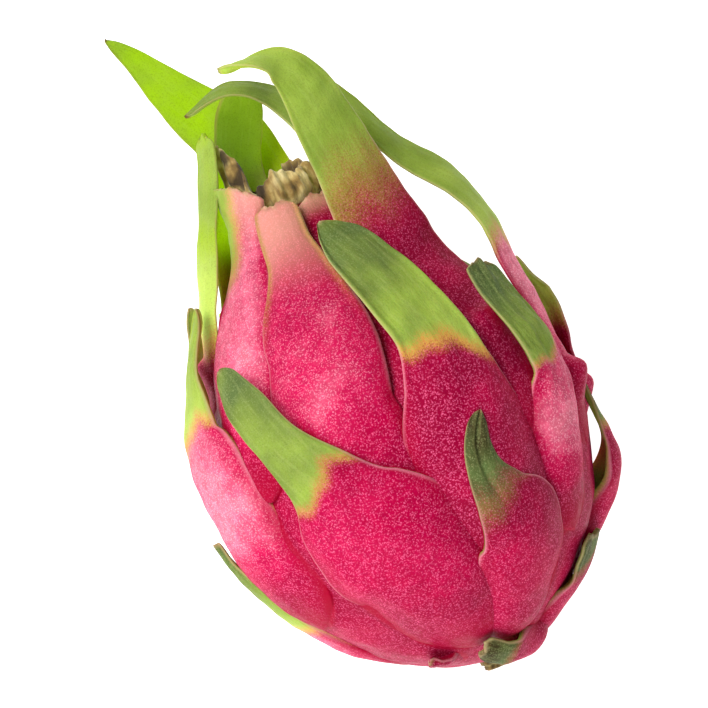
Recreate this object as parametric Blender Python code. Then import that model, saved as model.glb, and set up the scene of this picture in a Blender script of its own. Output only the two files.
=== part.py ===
"""Dragon fruit (red pitaya) lying on its side: a fleshy body, its leafy scales, a dried flower and a stem stub.

Lengths in the tables are millimetres and angles are degrees. The fruit frame has its axis along +Y from the
stem end to the flower end, +X to the right and +Z up. A skin row is (angle round the axis from +Z, distance
along the skin from the stem end, lift over the skin, half width). An air row is (x, y, z, half width, face),
where face is the angle that the outer side looks to, and a sixth number leans that side towards +Y.
"""
import math

import bmesh
import bpy
import numpy as np
from mathutils import Matrix

MM = 0.001
OBJECT_NAME = "dragon_fruit"
# Body outline, from the stem end to the dish under the flower: (station on the axis, radius).
BODY_OUTLINE = (
    (0.0, 0.0),
    (1.2, 8.0),
    (5.0, 16.5),
    (13.0, 26.5),
    (25.0, 35.5),
    (40.0, 41.0),
    (54.0, 42.0),
    (68.0, 39.0),
    (81.0, 31.5),
    (92.0, 22.5),
    (101.0, 14.5),
    (106.0, 11.5),
    (110.0, 9.8),
)
OUTLINE_STEPS = 24
AXIS_PITCH = 8.0
REST_STATION = 44.0
REST_SPOT_RADIUS = 11.5
BODY_RINGS = 24
BODY_SIDES = 36
GAP = 0.35
NEIGHBOUR_GAP = 0.5
SKIN_CLEARANCE = 0.5
MARGIN_THICKNESS = 0.55
FLESH_THICKNESS = 2.4
BLADE_THICKNESS = 1.5
FREE_LIFT = (4.5, 9.0)
AIR_LIFT = 16.0
ROOT_ROUNDING = 0.16
TIP_ROUNDING = 0.08
LEAST_HALF_WIDTH = 1.0
GRID_ALONG = 10
GRID_ACROSS = 5
FLOOR_CLEARANCE = 0.3
STUB_RADIUS = 4.6
STUB_LENGTH = 1.6
FLOWER_BASE = 110.4
FLOWER_RADIUS = 10.4
FLOWER_HEIGHT = 7.6
FLOWER_WALL = 2.2
FLOWER_SIDES = 22

# Each scale from its root to its tip: name, skin rows, air rows, cup of the free blade in degrees at its margin.
# The first ones lie outermost and press into those that come after them.
SCALES = (
    (
        "scale_front_low_right",
        (
            (6, 18, 0.5, 6),
            (16, 28, 2.2, 10),
            (21, 40, 3.6, 12.5),
            (22, 51, 4.6, 12),
            (18, 60, 5.2, 7),
            (16, 66.5, 5.6, 4.3),
            (17, 72, 6, 3.2),
            (21, 77.5, 6.4, 1.8),
        ),
        (),
        25,
    ),
    (
        "scale_front_low_left",
        (
            (-8, 22, 0.5, 9),
            (-12, 40, 3, 15),
            (-14, 52, 4.6, 18.5),
            (-18, 61, 5.4, 19.5),
            (-22, 70, 5.6, 15),
            (-25, 78, 6, 9),
            (-31, 87, 7.4, 5.8),
            (-38, 96, 8.6, 5),
            (-48, 105.5, 9, 2.4),
        ),
        (),
        20,
    ),
    (
        "scale_base_right",
        ((66, 10, 1, 4), (48, 11.5, 2.6, 5), (25, 13.5, 4, 5), (5, 18, 4.6, 4.4), (-9, 26, 4.4, 3.2)),
        (),
        30,
    ),
    (
        "scale_base_left",
        ((-36, 17, 0.5, 3.5), (-34, 22, 2, 4), (-33, 29, 3.8, 0.8)),
        (),
        25,
    ),
    (
        "scale_base_under",
        ((178, 14, 0.5, 8), (179, 25, 2, 11), (180, 36, 2.5, 8), (180, 46, 3, 1)),
        (),
        25,
    ),
    (
        "scale_right_low",
        ((64, 9, 0.5, 5), (65, 17, 1.6, 7), (66, 27, 2.4, 7.4), (67, 37.5, 2.6, 7.2)),
        (),
        25,
    ),
    (
        "scale_left_low",
        ((-98, 20, 0.5, 9), (-90, 33, 1.2, 9), (-83, 46, 1.6, 6.5), (-79, 60, 3.4, 4.4), (-78, 73, 5.6, 0.8)),
        (),
        30,
    ),
    (
        "scale_under_right_low",
        ((130, 20, 0.5, 10), (130, 36, 3, 13), (128, 52, 4, 12), (124, 66, 5, 8), (120, 80, 7, 1)),
        (),
        25,
    ),
    (
        "scale_under_left_low",
        ((-132, 16, 0.5, 10), (-130, 32, 3, 14), (-127, 50, 4, 14), (-122, 66, 5, 9), (-118, 82, 7, 1)),
        (),
        25,
    ),
    (
        "scale_right_middle",
        (
            (90, 28, 0.5, 7),
            (88, 40, 3.6, 8.5),
            (86, 50, 5.8, 7.4),
            (84, 58, 3.8, 5),
            (82, 64, 2.4, 3),
            (80, 70, 1.8, 0.8),
        ),
        (),
        20,
    ),
    (
        "scale_left_middle",
        (
            (-66, 45, 0.5, 12),
            (-67, 60, 3, 16),
            (-69, 84, 5, 15),
            (-73, 94, 6, 10),
            (-77, 106, 7.5, 6.5),
            (-71, 121, 10, 0.8),
        ),
        (),
        25,
    ),
    (
        "scale_front_right",
        (
            (23, 42, 0.5, 8),
            (21, 54, 3, 14.5),
            (19, 66, 4.4, 17),
            (18.5, 76, 5.2, 16),
            (20, 86, 6.4, 11.5),
            (20.5, 94, 8, 8.6),
            (18.5, 102, 10.6, 7.8),
            (16, 109.5, 13, 7.2),
            (12, 116.5, 15.4, 5.6),
            (7, 122.5, 17, 1.4),
        ),
        (),
        20,
    ),
    (
        "scale_right_upper",
        (
            (48, 42, 0.5, 7),
            (47, 56, 2.8, 10.5),
            (49, 67, 4.4, 9.2),
            (52, 76, 5.6, 7),
            (51, 82, 6.8, 6.2),
            (48, 89, 8, 5.3),
            (48, 96, 9, 5.2),
            (50, 101.5, 10, 4.6),
        ),
        (),
        25,
    ),
    (
        "scale_front_centre",
        (
            (-10, 62, 0.5, 10),
            (-14, 76, 3, 15),
            (-17, 90, 4.4, 15.5),
            (-13, 104, 4.8, 14),
            (-12, 114, 5, 11.5),
            (-10, 125, 5.6, 7.6),
            (-12, 134, 6.4, 6.2),
            (-9, 142, 7, 5.4),
        ),
        (),
        35,
    ),
    (
        "scale_under_middle",
        ((178, 78, 0.5, 9), (178, 89, 3, 11), (178, 100, 5, 8), (178, 113, 8, 1)),
        (),
        25,
    ),
    (
        "scale_under_right_upper",
        ((122, 62, 0.5, 9), (122, 76, 3, 12), (122, 88, 4.5, 9), (122, 99, 5, 6), (122, 109, 5.4, 1)),
        (),
        25,
    ),
    (
        "scale_under_left_upper",
        ((-124, 66, 0.5, 9), (-121, 80, 3, 12), (-118, 94, 5, 9), (-114, 106, 8, 5), (-110, 120, 11, 1)),
        (),
        25,
    ),
    (
        "scale_crown_large",
        ((46, 62, 0.5, 10), (46, 75, 2, 14), (44, 88, 3.2, 14)),
        (
            (20, 86, 26, 12.5, 34),
            (17.5, 96, 26, 11, 22),
            (16.5, 106, 27.5, 9, 14),
            (15.7, 115, 31.5, 7.8, 10),
            (14.8, 124, 37, 7.1, 8),
            (14, 131, 42.5, 6, 8),
            (12.2, 137, 46, 4.8, 2, 15),
            (9, 141, 48.5, 4, -4, 45),
            (4, 143, 50, 3.4, -8, 80),
            (-1.5, 143.5, 49, 0.8, -8, 110),
        ),
        30,
    ),
    (
        "scale_crown_right",
        ((66, 58, 0.5, 6), (68, 68, 2, 7)),
        (
            (41.5, 67, 9, 6.5, 74),
            (40.3, 79, 12.5, 6.2, 72),
            (39.6, 90.5, 15, 5.8, 70),
            (35.5, 102, 17, 5.4, 62),
            (28, 112.5, 19, 4.6, 58),
            (22.5, 124, 21, 3.6, 52),
            (18.5, 133, 22, 0.8, 46),
        ),
        25,
    ),
    (
        "scale_crown_right_low",
        ((100, 54, 0.5, 4), (100, 62, 2, 5.5)),
        ((44.5, 61, -6, 6.4, 112), (44.3, 69, -8, 5.4, 116), (42.3, 78.5, -8, 0.8, 118)),
        25,
    ),
    (
        "scale_front_inner",
        ((22, 118, 0.5, 6), (26, 127, 1.5, 7), (30, 134, 2.8, 6), (32, 141, 4.6, 5.5)),
        (),
        30,
    ),
    (
        "scale_front_left",
        (
            (-47, 78, 0.5, 9),
            (-50, 90, 2, 12),
            (-53, 102, 2.6, 13.5),
            (-59, 114, 3.2, 13.5),
            (-59, 125, 3.8, 11),
            (-55, 136, 4.4, 8.6),
            (-44, 144, 5.4, 7.2),
            (-35, 149, 6.4, 7),
        ),
        (),
        35,
    ),
    (
        "scale_crown_left",
        ((-92, 96, 0.5, 6), (-91, 106, 2.5, 7)),
        (
            (-28.3, 94.5, 3.5, 4.6, -68),
            (-24.5, 102.5, 3.5, 4.7, -66),
            (-18.8, 114.4, 4, 4.8, -64),
            (-13.8, 124.2, 4, 4.7, -62),
            (-10.8, 131, 4, 3.8, -60),
            (-9.9, 133.6, 4, 2.6, -60),
        ),
        35,
    ),
    (
        "scale_crown_left_inner",
        ((-116, 106, 0.5, 5), (-118, 116, 2, 6)),
        (
            (-18.5, 102, -9, 5, -128),
            (-13.5, 112.5, -8, 5, -136),
            (-10.6, 120, -7, 4.2, -140),
            (-9.6, 127, -6, 1.2, -140),
        ),
        30,
    ),
    (
        "scale_crown_under_right",
        ((146, 92, 0.5, 6), (146, 104, 3, 8)),
        ((14, 97, -19, 7, 144), (14, 109, -19, 5.5, 142), (15, 122, -20, 0.8, 140)),
        30,
    ),
    (
        "scale_crown_under",
        ((-168, 98, 0.5, 8), (-170, 110, 3, 10)),
        (
            (-2, 106, -16, 9.5, -175),
            (-2.5, 120, -14.5, 9.2, -175),
            (-4, 130.5, -14, 8.6, -172),
            (-8, 138.5, -14.5, 7, -168),
            (-13, 149, -16, 4.6, -162),
            (-16, 156, -17, 3, -160),
            (-19.5, 162.7, -18, 0.8, -158),
        ),
        30,
    ),
    (
        "scale_crown_under_left",
        ((-142, 92, 0.5, 6), (-141, 104, 3, 8)),
        ((-17.5, 96, -18, 6.5, -142), (-17, 105, -18, 5, -142), (-16.5, 114, -18.5, 0.8, -142)),
        30,
    ),
    (
        "scale_crown_back",
        ((-146, 122, 0.5, 5), (-146, 131, 1.5, 6)),
        (
            (-6.5, 112, -10, 6, -30),
            (-6, 120, -9.5, 6, -28),
            (-4.2, 127, -6, 5.8, -25),
            (-1, 132.5, -3, 5.6, -20),
            (2, 137, 0, 4.4, -15),
            (3, 140.5, 2, 0.8, -15),
        ),
        25,
    ),
    (
        "scale_crown_curled",
        ((72, 126, 0.5, 4), (70, 134, 2, 4.5)),
        (
            (12.5, 116, 2.5, 4.6, 60, 0),
            (13, 125, 3, 4.3, 50, 10),
            (10.5, 132, 4, 3.9, 30, 35),
            (6.5, 137, 5.5, 3.5, 10, 50),
            (1.1, 140.2, 7, 3, -5, 60),
            (-5.2, 140.5, 6.3, 2.5, -10, 60),
            (-11.3, 139.4, 4, 0.8, -10, 50),
        ),
        25,
    ),
)

PINK = (0.62, 0.035, 0.14)
SCALE_PINK = (0.66, 0.08, 0.18)
SCALE_GREEN = (0.25, 0.42, 0.08)
DRY = (0.42, 0.28, 0.12)
WOODY = (0.24, 0.20, 0.10)


def catmull_rom(rows, steps):
    """Points of a smooth curve through the rows, with this many steps between two of them."""
    rows = np.array(rows, float)
    rows = np.vstack([2 * rows[0] - rows[1], rows, 2 * rows[-1] - rows[-2]])
    found = []
    for before, start, end, after in zip(rows, rows[1:], rows[2:], rows[3:]):
        for t in np.arange(steps) / steps:
            square = (2 * before - 5 * start + 4 * end - after) * t * t
            cube = (3 * start - before - 3 * end + after) * t**3
            found.append(0.5 * (2 * start + (end - before) * t + square + cube))
    return np.array(found + [rows[-2]])


def smoothstep(low, high, value):
    t = np.clip((np.asarray(value, float) - low) / (high - low), 0, 1)
    return t * t * (3 - 2 * t)


def mix(first, second, share):
    return first + (second - first) * share


def unit(vectors):
    return vectors / np.maximum(np.linalg.norm(vectors, axis=-1, keepdims=True), 1e-9)


OUTLINE = catmull_rom(BODY_OUTLINE, OUTLINE_STEPS)
OUTLINE[:, 1] = np.maximum(OUTLINE[:, 1], 0)
OUTLINE_RUN = np.append(0, np.cumsum(np.linalg.norm(np.diff(OUTLINE, axis=0), axis=1)))
RUN_END = OUTLINE_RUN[-1]
OUTLINE_TANGENT = unit(np.gradient(OUTLINE, OUTLINE_RUN, axis=0))


def skin_point(angle, run, lift):
    """Position over the skin, which goes on along the axis past the flower end."""
    within = np.clip(run, 0, RUN_END)
    past = np.maximum(run - RUN_END, 0)
    station = np.interp(within, OUTLINE_RUN, OUTLINE[:, 0]) + past
    radius = np.interp(within, OUTLINE_RUN, OUTLINE[:, 1])
    along = np.interp(within, OUTLINE_RUN, OUTLINE_TANGENT[:, 0])
    outward = np.interp(within, OUTLINE_RUN, OUTLINE_TANGENT[:, 1])
    radians = np.radians(angle)
    radius = radius + lift * along
    station = station - lift * outward
    return np.stack([radius * np.sin(radians), station, radius * np.cos(radians)], -1)


def skin_normal(angle, run):
    return unit(skin_point(angle, run, np.ones(np.shape(run))) - skin_point(angle, run, np.zeros(np.shape(run))))


def scale_surfaces(skin_rows, air_rows, cup, grow=0.0, along=GRID_ALONG, across=GRID_ACROSS):
    """Outer and inner points of one scale, as arrays of along + 1 by across + 1 positions."""
    skin = np.array(skin_rows, float)
    air = np.array([(*row, 0)[:6] for row in air_rows], float).reshape(-1, 6)
    centres = np.vstack([skin_point(skin[:, 0], skin[:, 1], skin[:, 2]), air[:, :3]])
    faces, leans = np.radians(air[:, 4]), np.radians(air[:, 5])
    air_normals = np.stack([np.sin(faces) * np.cos(leans), np.sin(leans), np.cos(faces) * np.cos(leans)], -1)
    normals = np.vstack([skin_normal(skin[:, 0], skin[:, 1]), air_normals])
    steps = np.linalg.norm(np.diff(centres, axis=0), axis=1)
    beyond = np.cumsum(steps)[len(skin) - 1 :] - np.sum(steps[: len(skin) - 1])
    half_widths = np.append(skin[:, 3], air[:, 3])
    angles = np.append(skin[:, 0], np.full(len(air), skin[-1, 0]))
    runs = np.append(skin[:, 1], skin[-1, 1] + beyond)
    lifts = np.append(skin[:, 2], np.full(len(air), AIR_LIFT))
    rows = np.column_stack([centres, normals, half_widths, angles, runs, lifts])
    fine = catmull_rom(rows, 16)
    length = np.append(0, np.cumsum(np.linalg.norm(np.diff(fine[:, :3], axis=0), axis=1)))
    share = np.linspace(0, 1, along + 1)
    at = np.column_stack([np.interp(share * length[-1], length, column) for column in fine.T])
    centre, normal = at[:, :3], at[:, 3:6]
    half, angle, run, lift = at[:, 6], at[:, 7], at[:, 8], at[:, 9]
    rounding = np.sqrt(np.clip(1 - np.clip(1 - share / ROOT_ROUNDING, 0, 1) ** 2, 0.04, 1))
    rounding = rounding * np.sqrt(np.clip(1 - np.clip(1 - (1 - share) / TIP_ROUNDING, 0, 1) ** 2, 0.25, 1))
    half = np.maximum(half * rounding, LEAST_HALF_WIDTH) + grow
    tangent = unit(np.gradient(centre, axis=0))
    normal = unit(normal - tangent * (normal * tangent).sum(1, keepdims=True))
    side = np.cross(tangent, normal)
    w = np.linspace(-1, 1, across + 1)[None, :]
    column = lambda values: values[:, None]
    attached = 1 - smoothstep(0.25, 0.7, share)
    free = column(smoothstep(*FREE_LIFT, lift))
    bump = mix(1 - 0.3 * w**4, (1 - w * w) ** 1.3, column(attached))
    local = np.maximum(column(lift) * bump, SKIN_CLEARANCE + MARGIN_THICKNESS)
    thick = mix(FLESH_THICKNESS, BLADE_THICKNESS, column(share)) * (1 - 0.45 * w * w)
    under = mix(SKIN_CLEARANCE, local - thick, column(smoothstep(0.4, 0.75, share)))
    under = np.clip(under, SKIN_CLEARANCE, local - MARGIN_THICKNESS)
    radius = np.interp(np.clip(run, 0, RUN_END), OUTLINE_RUN, OUTLINE[:, 1]) + lift
    across_turn = np.radians(np.gradient(angle)) * radius
    along_turn = np.gradient(run)
    norm = np.maximum(np.hypot(across_turn, along_turn), 1e-9)
    angle_at = column(angle) + np.degrees(w * column(half * along_turn / norm / radius))
    run_at = column(run) - w * column(half * across_turn / norm)
    outer_skin = skin_point(angle_at, run_at, local + grow)
    inner_skin = skin_point(angle_at, run_at, under - grow)
    bend = np.radians(cup) * w
    aside = column(half) * np.sin(bend) / math.radians(cup)
    down = column(half) * (1 - np.cos(bend)) / math.radians(cup)
    blade = centre[:, None] + side[:, None] * aside[..., None] - normal[:, None] * down[..., None]
    outward = normal[:, None] * np.cos(bend)[..., None] + side[:, None] * np.sin(bend)[..., None]
    outer_free = blade + outward * grow
    inner_free = blade - outward * (thick + grow)[..., None]
    outer = mix(outer_skin, outer_free, free[..., None])
    inner = mix(inner_skin, inner_free, free[..., None])
    outer[0] -= tangent[0] * grow
    outer[-1] += tangent[-1] * grow
    inner[0] -= tangent[0] * grow
    inner[-1] += tangent[-1] * grow
    return outer, inner


def material_named(name, colour, roughness):
    material = bpy.data.materials.new(name)
    material.use_nodes = True
    shader = material.node_tree.nodes["Principled BSDF"]
    shader.inputs["Base Color"].default_value = (*colour, 1.0)
    shader.inputs["Roughness"].default_value = roughness
    shader.inputs["Metallic"].default_value = 0.0
    material.diffuse_color = (*colour, 1.0)
    return material


def add_object(name, shape, collection, material=None):
    mesh = bpy.data.meshes.new(name)
    shape.to_mesh(mesh)
    shape.free()
    made = bpy.data.objects.new(name, mesh)
    collection.objects.link(made)
    if material:
        mesh.materials.append(material)
    mesh.shade_smooth()
    mesh.set_sharp_from_angle(angle=math.radians(50))
    return made


def sheet_solid(outer, inner):
    """A closed solid: a grid shaped to the outer side, extruded to the inner side."""
    along, across = outer.shape[0] - 1, outer.shape[1] - 1
    shape = bmesh.new()
    bmesh.ops.create_grid(shape, x_segments=across, y_segments=along, size=1.0)
    shape.verts.ensure_lookup_table()
    grid = sorted(shape.verts, key=lambda vert: (round(vert.co.y, 5), round(vert.co.x, 5)))
    places = {}
    for index, vert in enumerate(grid):
        places[vert.index] = divmod(index, across + 1)
    layer = shape.verts.layers.int.new("place")
    for vert in shape.verts:
        row, step = places[vert.index]
        vert[layer] = row * (across + 1) + step
        vert.co = outer[row, step] * MM
    bmesh.ops.recalc_face_normals(shape, faces=shape.faces)
    moved = bmesh.ops.extrude_face_region(shape, geom=shape.faces[:], use_keep_orig=True)
    for item in moved["geom"]:
        if isinstance(item, bmesh.types.BMVert):
            row, step = divmod(item[layer], across + 1)
            item.co = inner[row, step] * MM
    bmesh.ops.recalc_face_normals(shape, faces=shape.faces)
    if shape.calc_volume(signed=True) < 0:
        bmesh.ops.reverse_faces(shape, faces=shape.faces)
    bmesh.ops.triangulate(shape, faces=shape.faces, quad_method="FIXED")
    return shape


def keep_largest_piece(shape):
    """Removes the crumbs that a cut leaves beside the main piece."""
    left = set(shape.verts)
    pieces = []
    while left:
        found = {left.pop()}
        front = list(found)
        while front:
            vert = front.pop()
            near = {edge.other_vert(vert) for edge in vert.link_edges} & left
            found |= near
            left -= near
            front.extend(near)
        pieces.append(found)
    pieces.sort(key=len, reverse=True)
    crumbs = [vert for piece in pieces[1:] for vert in piece]
    bmesh.ops.delete(shape, geom=crumbs, context="VERTS")


def box_of(obj):
    corners = np.array([obj.matrix_world @ vert.co for vert in obj.data.vertices])
    return corners.min(axis=0), corners.max(axis=0)


def boxes_meet(first, second):
    return bool(np.all(first[0] < second[1]) and np.all(second[0] < first[1]))


def cut(obj, cutter):
    # The exact solver leaves open edges on sheets this thin, so this is the manifold one.
    modifier = obj.modifiers.new("Cut", "BOOLEAN")
    modifier.operation = "DIFFERENCE"
    modifier.object = cutter
    modifier.solver = "MANIFOLD"
    bpy.context.view_layer.update()
    graph = bpy.context.evaluated_depsgraph_get()
    mesh = bpy.data.meshes.new_from_object(obj.evaluated_get(graph))
    obj.modifiers.clear()
    shape = bmesh.new()
    shape.from_mesh(mesh)
    bpy.data.meshes.remove(mesh)
    keep_largest_piece(shape)
    bmesh.ops.triangulate(shape, faces=shape.faces, quad_method="FIXED")
    shape.to_mesh(obj.data)
    shape.free()


def turned_solid(outline, sides):
    """A closed solid turned about +Y from (station, radius) points whose first and last radius may be over 0."""
    shape = bmesh.new()
    verts = [shape.verts.new((0, station * MM, radius * MM)) for station, radius in outline]
    edges = [shape.edges.new(pair) for pair in zip(verts, verts[1:])]
    bmesh.ops.spin(shape, geom=verts + edges, axis=(0, 1, 0), cent=(0, 0, 0), angle=math.tau, steps=sides)
    bmesh.ops.remove_doubles(shape, verts=shape.verts, dist=0.01 * MM)
    bmesh.ops.holes_fill(shape, edges=shape.edges, sides=0)
    bmesh.ops.recalc_face_normals(shape, faces=shape.faces)
    if shape.calc_volume(signed=True) < 0:
        bmesh.ops.reverse_faces(shape, faces=shape.faces)
    return shape


def body_outline(grow):
    runs = np.linspace(0, RUN_END, BODY_RINGS + 1)
    points = [skin_point(0.0, run, grow) for run in runs]
    outline = [(point[1], max(point[2], 0.0)) for point in points]
    outline[0] = (outline[0][0], 0.0)
    return outline


def body_solid(grow=0.0):
    outline = body_outline(grow)
    if not grow:
        # A shallow dish, under the dried flower.
        outline += [(RUN_STATION_END - 1.5, FLOWER_RADIUS - 3.0), (RUN_STATION_END - 2.5, 0.0)]
    return turned_solid(outline, BODY_SIDES)


RUN_STATION_END = float(OUTLINE[-1, 0])


def flower_solid():
    """The withered flower: a ragged cup with a folded finger of dry petals on its left rim."""
    shape = turned_solid(
        [
            (FLOWER_BASE, 0.0),
            (FLOWER_BASE, FLOWER_RADIUS - 2.5),
            (FLOWER_BASE + 1.5, FLOWER_RADIUS - 0.6),
            (FLOWER_BASE + FLOWER_HEIGHT * 0.5, FLOWER_RADIUS),
            (FLOWER_BASE + FLOWER_HEIGHT, FLOWER_RADIUS - 0.4),
            (FLOWER_BASE + FLOWER_HEIGHT, FLOWER_RADIUS - FLOWER_WALL),
            (FLOWER_BASE + FLOWER_HEIGHT * 0.45, FLOWER_RADIUS - FLOWER_WALL - 0.8),
            (FLOWER_BASE + 2.5, 0.0),
        ],
        FLOWER_SIDES,
    )
    for vert in shape.verts:
        x, y, z = (value / MM for value in vert.co)
        angle = math.atan2(x, z)
        height = max(0.0, (y - FLOWER_BASE) / FLOWER_HEIGHT)
        ragged = 0.16 * math.sin(3 * angle + 0.7) + 0.12 * math.sin(5 * angle + 2.1) + 0.07 * math.sin(8 * angle)
        finger = math.exp(-(((math.degrees(angle) + 62 + 180) % 360 - 180) / 21) ** 4)
        stretch = 1 + height * (ragged + 1.55 * finger)
        spread = 1 + 0.06 * height * math.sin(4 * angle + 1.0) - 0.16 * height * finger
        vert.co = (x * spread * MM, (FLOWER_BASE + (y - FLOWER_BASE) * stretch) * MM, z * spread * MM)
    return shape


def floor_cut(shape, height_of):
    """Slices the shape flat where it is below the floor."""
    point, normal = height_of
    geometry = shape.verts[:] + shape.edges[:] + shape.faces[:]
    found = bmesh.ops.bisect_plane(
        shape, geom=geometry, dist=1e-7, plane_co=point, plane_no=normal, clear_inner=True
    )
    edges = [item for item in found["geom_cut"] if isinstance(item, bmesh.types.BMEdge)]
    if edges:
        bmesh.ops.holes_fill(shape, edges=edges, sides=0)
    return shape


def build():
    for obj in list(bpy.data.objects):
        bpy.data.objects.remove(obj, do_unlink=True)
    scene = bpy.context.scene
    parts = bpy.data.collections.new(OBJECT_NAME)
    cutters = bpy.data.collections.new(OBJECT_NAME + "_cutters")
    scene.collection.children.link(parts)
    scene.collection.children.link(cutters)

    # The floor, seen from the fruit frame: the axis climbs towards the flower end by AXIS_PITCH.
    pitch = math.radians(AXIS_PITCH)
    up = np.array([0.0, math.sin(pitch), math.cos(pitch)])
    lowest = float((skin_point(np.full(600, 180.0), np.linspace(0, RUN_END, 600), np.zeros(600)) @ up).min())
    sagitta = REST_SPOT_RADIUS**2 / (2 * np.interp(REST_STATION, OUTLINE[:, 0], OUTLINE[:, 1]))
    floor_height = lowest + sagitta
    floor_point = up * floor_height * MM

    body_shape = floor_cut(body_solid(), (floor_point, up))
    bmesh.ops.recalc_face_normals(body_shape, faces=body_shape.faces)
    body = add_object("fruit_body", body_shape, parts, material_named("pink_skin", PINK, 0.5))
    keep_out = add_object("keep_out_body", body_solid(GAP), cutters)

    flower = add_object("withered_flower", flower_solid(), parts, material_named("dried_petals", DRY, 0.9))
    stub_outline = [
        (-GAP - STUB_LENGTH, 0.0),
        (-GAP - STUB_LENGTH, STUB_RADIUS - 0.8),
        (-GAP - STUB_LENGTH * 0.8, STUB_RADIUS),
        (-GAP - STUB_LENGTH * 0.3, STUB_RADIUS - 0.5),
        (-GAP, STUB_RADIUS + 0.4),
        (-GAP, 0.0),
    ]
    stub = add_object(
        "stem_stub", turned_solid(stub_outline, 18), parts, material_named("woody_stem", WOODY, 0.9)
    )

    placed = []
    flower_box = box_of(flower)
    stub_box = box_of(stub)
    for number, (name, skin_rows, air_rows, cup) in enumerate(SCALES):
        outer, inner = scale_surfaces(skin_rows, air_rows, cup)
        colour = mix(np.array(SCALE_PINK), np.array(SCALE_GREEN), 0.55 if "crown" in name else 0.12)
        material = material_named(name + "_skin", tuple(colour), 0.5)
        scale = add_object(name, sheet_solid(outer, inner), parts, material)
        box = box_of(scale)
        cut(scale, keep_out)
        for neighbour, guard, guard_box in placed:
            if boxes_meet(box, guard_box):
                cut(scale, guard)
                cut(scale, neighbour)
        for other, other_box in ((flower, flower_box), (stub, stub_box)):
            if boxes_meet(box, other_box):
                cut(other, scale_guard(name, skin_rows, air_rows, cup, cutters))
        lowest_point = ((np.array([vert.co for vert in scale.data.vertices]) @ up).min()) / MM
        if lowest_point < floor_height + FLOOR_CLEARANCE:
            shape = bmesh.new()
            shape.from_mesh(scale.data)
            floor_cut(shape, (floor_point + up * FLOOR_CLEARANCE * MM, up))
            keep_largest_piece(shape)
            bmesh.ops.recalc_face_normals(shape, faces=shape.faces)
            shape.to_mesh(scale.data)
            shape.free()
        guard = scale_guard(name, skin_rows, air_rows, cup, cutters)
        placed.append((scale, guard, box_of(guard)))

    # Lay the fruit on the floor and centre its footprint on the origin.
    tilt = Matrix.Rotation(pitch, 4, "X")
    made = list(parts.objects) + list(cutters.objects)
    for obj in made:
        obj.data.transform(tilt)
    low = np.min([box_of(obj)[0] for obj in parts.objects], axis=0)
    high = np.max([box_of(obj)[1] for obj in parts.objects], axis=0)
    centre = (low + high) / 2
    shift = Matrix.Translation((-centre[0], -centre[1], -floor_height * MM))
    for obj in made:
        obj.data.transform(shift)
    for obj in cutters.objects:
        obj.hide_render = True
        obj.display_type = "WIRE"
    return body


def scale_guard(name, skin_rows, air_rows, cup, cutters):
    """The scale grown by the gap, which its neighbours are cut back from."""
    known = bpy.data.objects.get("keep_out_" + name)
    if known:
        return known
    outer, inner = scale_surfaces(skin_rows, air_rows, cup, grow=NEIGHBOUR_GAP)
    return add_object("keep_out_" + name, sheet_solid(outer, inner), cutters)


build()
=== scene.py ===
"""Red dragon fruit on a pale table: its peel, leafy scales, withered flower and stem stub.

Tables are in millimetres and degrees, in the fruit's own frame: +Y along its axis from the stem end to the
flower end, +X to the right and +Z up. A skin row is (angle round the axis, distance along the skin, lift,
half width). An air row is (x, y, z, half width, face), where face is the angle round the axis that the
outer side looks to. A sixth number in an air row leans that look towards +Y.
"""
import functools
import math

import bpy
import numpy as np
from bpy.props import FloatProperty, FloatVectorProperty, PointerProperty
from mathutils import Matrix, Vector
from mathutils.bvhtree import BVHTree

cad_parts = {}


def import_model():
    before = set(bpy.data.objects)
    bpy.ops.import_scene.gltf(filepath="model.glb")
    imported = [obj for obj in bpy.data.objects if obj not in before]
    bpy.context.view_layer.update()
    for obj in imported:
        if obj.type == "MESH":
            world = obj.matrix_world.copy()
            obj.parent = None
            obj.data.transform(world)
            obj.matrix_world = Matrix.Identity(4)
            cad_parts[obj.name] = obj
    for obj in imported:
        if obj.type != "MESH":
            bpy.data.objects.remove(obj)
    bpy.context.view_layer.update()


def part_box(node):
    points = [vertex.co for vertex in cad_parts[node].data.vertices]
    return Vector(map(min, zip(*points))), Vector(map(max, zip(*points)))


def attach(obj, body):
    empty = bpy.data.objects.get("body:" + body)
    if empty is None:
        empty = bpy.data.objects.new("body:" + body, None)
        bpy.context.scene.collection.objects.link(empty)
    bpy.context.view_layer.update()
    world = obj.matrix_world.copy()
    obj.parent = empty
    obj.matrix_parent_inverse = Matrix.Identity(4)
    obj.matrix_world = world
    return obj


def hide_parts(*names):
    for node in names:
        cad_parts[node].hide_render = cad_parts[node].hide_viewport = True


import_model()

bl_info = {
    "name": "Dragon fruit",
    "version": (1, 0, 0),
    "blender": (4, 5, 0),
    "location": "View3D > Sidebar > Dragon fruit",
    "description": "Builds a red dragon fruit lying on a pale table",
    "category": "Add Mesh",
}

MM = 0.001
# The body turned round its axis: (distance along the axis, radius).
BODY_OUTLINE = (
    (0.0, 0.0), (1.2, 8.0), (5.0, 16.5), (13.0, 26.5), (25.0, 35.5), (40.0, 41.0), (54.0, 42.0),
    (68.0, 39.0), (81.0, 31.5), (92.0, 22.5), (101.0, 14.5), (106.0, 11.5), (110.0, 9.8),
)
OUTLINE_STEPS = 24
# Degrees that the axis rises towards the crown.
AXIS_PITCH = 8.0
STUB_END = -1.95
STUB_CHAMFER_RADIUS = 3.8
STUB_RADIUS = 4.6
STUB_RIM = -1.63
# A scale turns from skin into a free blade over this range of lift, and an air row counts as lifted this far.
FREE_LIFT = (4.5, 9.0)
AIR_LIFT = 16.0
FLOWER_BASE = 110.4
FLOWER_RADIUS = 10.4
FLOWER_HEIGHT = 7.6
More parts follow.
